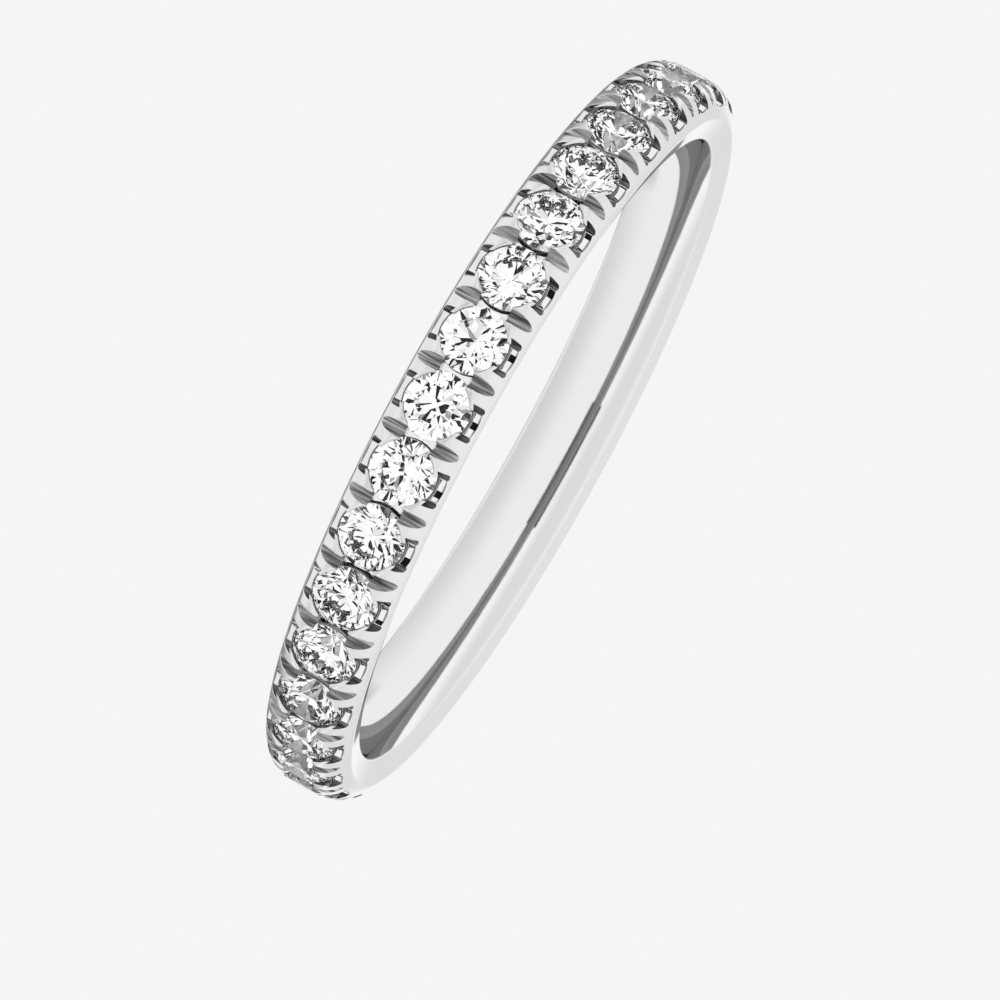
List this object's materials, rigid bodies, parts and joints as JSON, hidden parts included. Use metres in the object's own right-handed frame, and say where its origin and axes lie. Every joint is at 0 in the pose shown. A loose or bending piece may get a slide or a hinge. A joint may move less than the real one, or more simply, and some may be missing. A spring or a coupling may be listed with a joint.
{
  "type": "eternity ring",
  "caption": "Polished white-metal finger ring with round brilliant-cut stones in one row all the way round, each held by small prongs cut from the band, with a comfort-fit bore.",
  "frame": {"origin": "on the ring's axis, level with the lower side face that it lies on", "axes": "+Z along the ring's axis, upwards as it lies on its side; +X through the middle of stone_01"},
  "size_m": [0.0204, 0.0204, 0.0023],
  "materials": {
    "metal": "polished white gold",
    "stone": "polished facets"
  },
  "bodies": {
    "root": {"band": "metal", "stone_01": "stone", "stone_02": "stone", "stone_03": "stone", "stone_04": "stone", "stone_05": "stone", "stone_06": "stone", "stone_07": "stone", "stone_08": "stone", "stone_09": "stone", "stone_10": "stone", "stone_11": "stone", "stone_12": "stone", "stone_13": "stone", "stone_14": "stone", "stone_15": "stone", "stone_16": "stone", "stone_17": "stone", "stone_18": "stone", "stone_19": "stone", "stone_20": "stone", "stone_21": "stone", "stone_22": "stone", "stone_23": "stone", "stone_24": "stone", "stone_25": "stone", "stone_26": "stone", "stone_27": "stone", "stone_28": "stone", "stone_29": "stone", "stone_30": "stone", "stone_31": "stone", "stone_32": "stone", "stone_33": "stone", "stone_34": "stone"}
  },
  "joints": []
}
